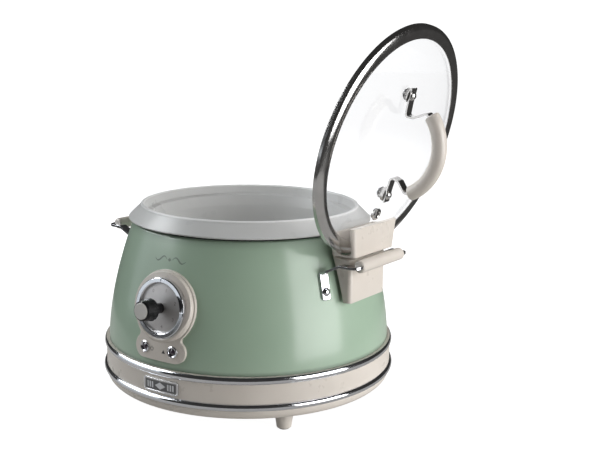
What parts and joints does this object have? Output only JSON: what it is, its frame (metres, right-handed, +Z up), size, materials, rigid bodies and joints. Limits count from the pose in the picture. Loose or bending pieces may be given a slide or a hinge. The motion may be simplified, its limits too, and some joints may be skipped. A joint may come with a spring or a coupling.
{
  "type": "slow cooker",
  "caption": "Round slow cooker: enamelled steel body on a cream base with feet, lift-out stoneware crock, dial control, side handles and a glass lid standing in a lid rest.",
  "frame": {"origin": "on the table, under the middle of the whole object with its lid parked; the round body's own axis is at x = -29.3 mm, y = 9.8 mm", "axes": "+Z up, parallel to the axis of the round body, -Y the front with the dial, +X the side with the lid rest"},
  "size_m": [0.3877, 0.3224, 0.3798],
  "materials": {
    "green_paint": "gloss",
    "cream_plastic": "satin",
    "chrome": "polished",
    "steel": "satin",
    "polished_steel": "polished",
    "crock_glaze": "gloss",
    "glass": "clear",
    "black_plastic": "gloss",
    "dark_plastic": "matte",
    "cap_plastic": "satin",
    "dial_silver": "satin",
    "lens_dark": "gloss",
    "rubber": "matte",
    "aluminium": "satin",
    "fibre": "matte",
    "terminal_white": "matte",
    "brass": "satin",
    "mica": "matte"
  },
  "bodies": {
    "base": {"base_band": "cream_plastic", "base_screws": "steel", "bottom_cover": "dark_plastic", "carrier_screws": "steel", "control_bezel": "cream_plastic", "cord_bush": "dark_plastic", "crock_seat_ring": "rubber", "cutout_bracket": "steel", "dial_carrier": "dark_plastic", "dial_face": "dial_silver", "dial_ring": "chrome", "foot_front_left": "cream_plastic", "foot_front_right": "cream_plastic", "foot_pads": "rubber", "foot_rear_left": "cream_plastic", "foot_rear_right": "cream_plastic", "foot_screws": "steel", "grip_left": "cream_plastic", "grip_right": "cream_plastic", "handle_nuts": "steel", "handle_screws": "chrome", "heater_band": "mica", "heating_liner": "aluminium", "insulation_wrap": "fibre", "lamp_body_left": "dark_plastic", "lamp_body_right": "dark_plastic", "lamp_lens_left": "lens_dark", "lamp_lens_right": "lens_dark", "lamp_ring_left": "chrome", "lamp_ring_right": "chrome", "liner_pillars": "steel", "lower_trim_ring": "chrome", "nameplate_field": "dial_silver", "nameplate_frame": "chrome", "outer_shell": "green_paint", "rotary_switch": "dark_plastic", "strap_left_front": "chrome", "strap_left_rear": "chrome", "strap_right_front": "chrome", "strap_right_rear": "chrome", "switch_terminals": "brass", "terminal_block": "terminal_white", "terminal_screws": "brass", "thermal_cutout": "steel", "thermostat": "steel", "upper_trim_ring": "chrome"},
    "knob": {"knob": "black_plastic", "knob_cap": "cap_plastic", "knob_shaft": "steel"},
    "crock": {"crock": "crock_glaze"},
    "lid_rest": {"lid_rest": "cream_plastic"},
    "lid": {"lid_rim": "polished_steel", "lid_glass": "glass", "steam_vent": "polished_steel", "lid_washers": "polished_steel", "lid_screws": "polished_steel", "lid_nuts": "steel", "lid_strap_upper": "polished_steel", "lid_strap_lower": "polished_steel", "lid_grip": "cream_plastic"}
  },
  "joints": [
    {"name": "knob_turn", "type": "hinge", "parent": "base", "child": "knob", "pos_m": [-0.01923, -0.13487, 0.1193], "axis": [-0.0692, 0.9901, -0.1219], "range_deg": [0, 270]},
    {"name": "crock_lift", "type": "slide", "parent": "base", "child": "crock", "axis": [0, 0, 1], "range_m": [0, 0.16]},
    {"name": "lid_rest_lift", "type": "slide", "parent": "base", "child": "lid_rest", "axis": [0, 0, 1], "range_m": [0, 0.08]},
    {"name": "lid_lift", "type": "slide", "parent": "lid_rest", "child": "lid", "axis": [0.2756, 0, 0.9613], "range_m": [0, 0.08]}
  ]
}
